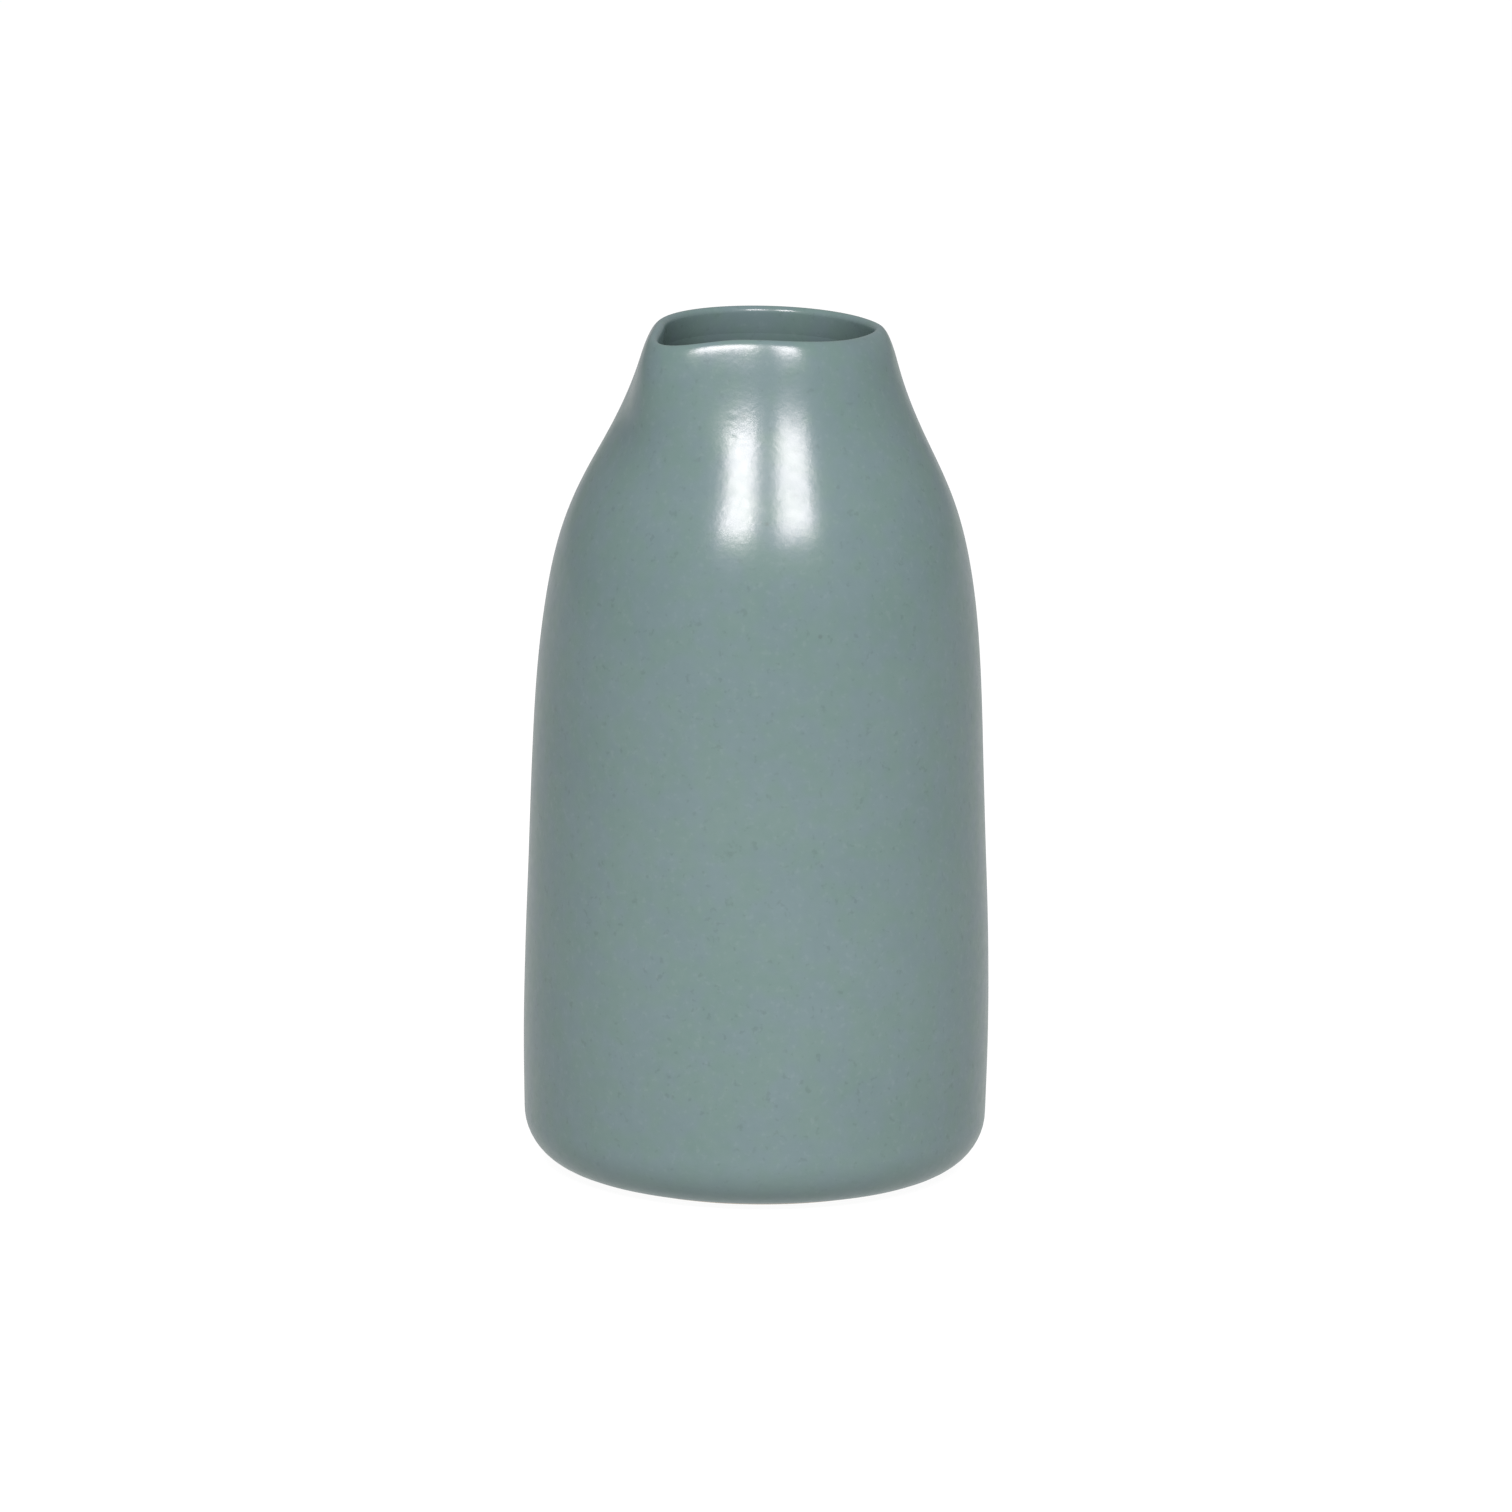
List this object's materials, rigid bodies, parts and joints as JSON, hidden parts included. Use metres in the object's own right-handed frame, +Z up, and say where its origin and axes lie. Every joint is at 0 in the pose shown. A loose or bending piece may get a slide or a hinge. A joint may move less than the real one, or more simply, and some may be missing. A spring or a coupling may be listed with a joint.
{
  "type": "ceramic bud vase",
  "caption": "Small hand-finished ceramic vase with a tapered body, soft shoulder, short neck and pinched mouth for one or a few stems.",
  "frame": {"origin": "under the middle of the foot, on the surface that the vase stands on", "axes": "+Z up along the vase's axis, -Y towards its front, so the pinched corner of the mouth points to the front left (-X, -Y)"},
  "size_m": [0.0766, 0.0766, 0.1408],
  "materials": {
    "bare_stoneware": "matte unglazed fired clay",
    "outer_glaze": "satin teal-grey glaze with fine speckles",
    "liner_glaze": "satin teal-grey glaze with fine speckles"
  },
  "bodies": {
    "root": {"stoneware_body": "bare_stoneware", "outer_glaze": "outer_glaze", "liner_glaze": "liner_glaze"}
  },
  "joints": []
}
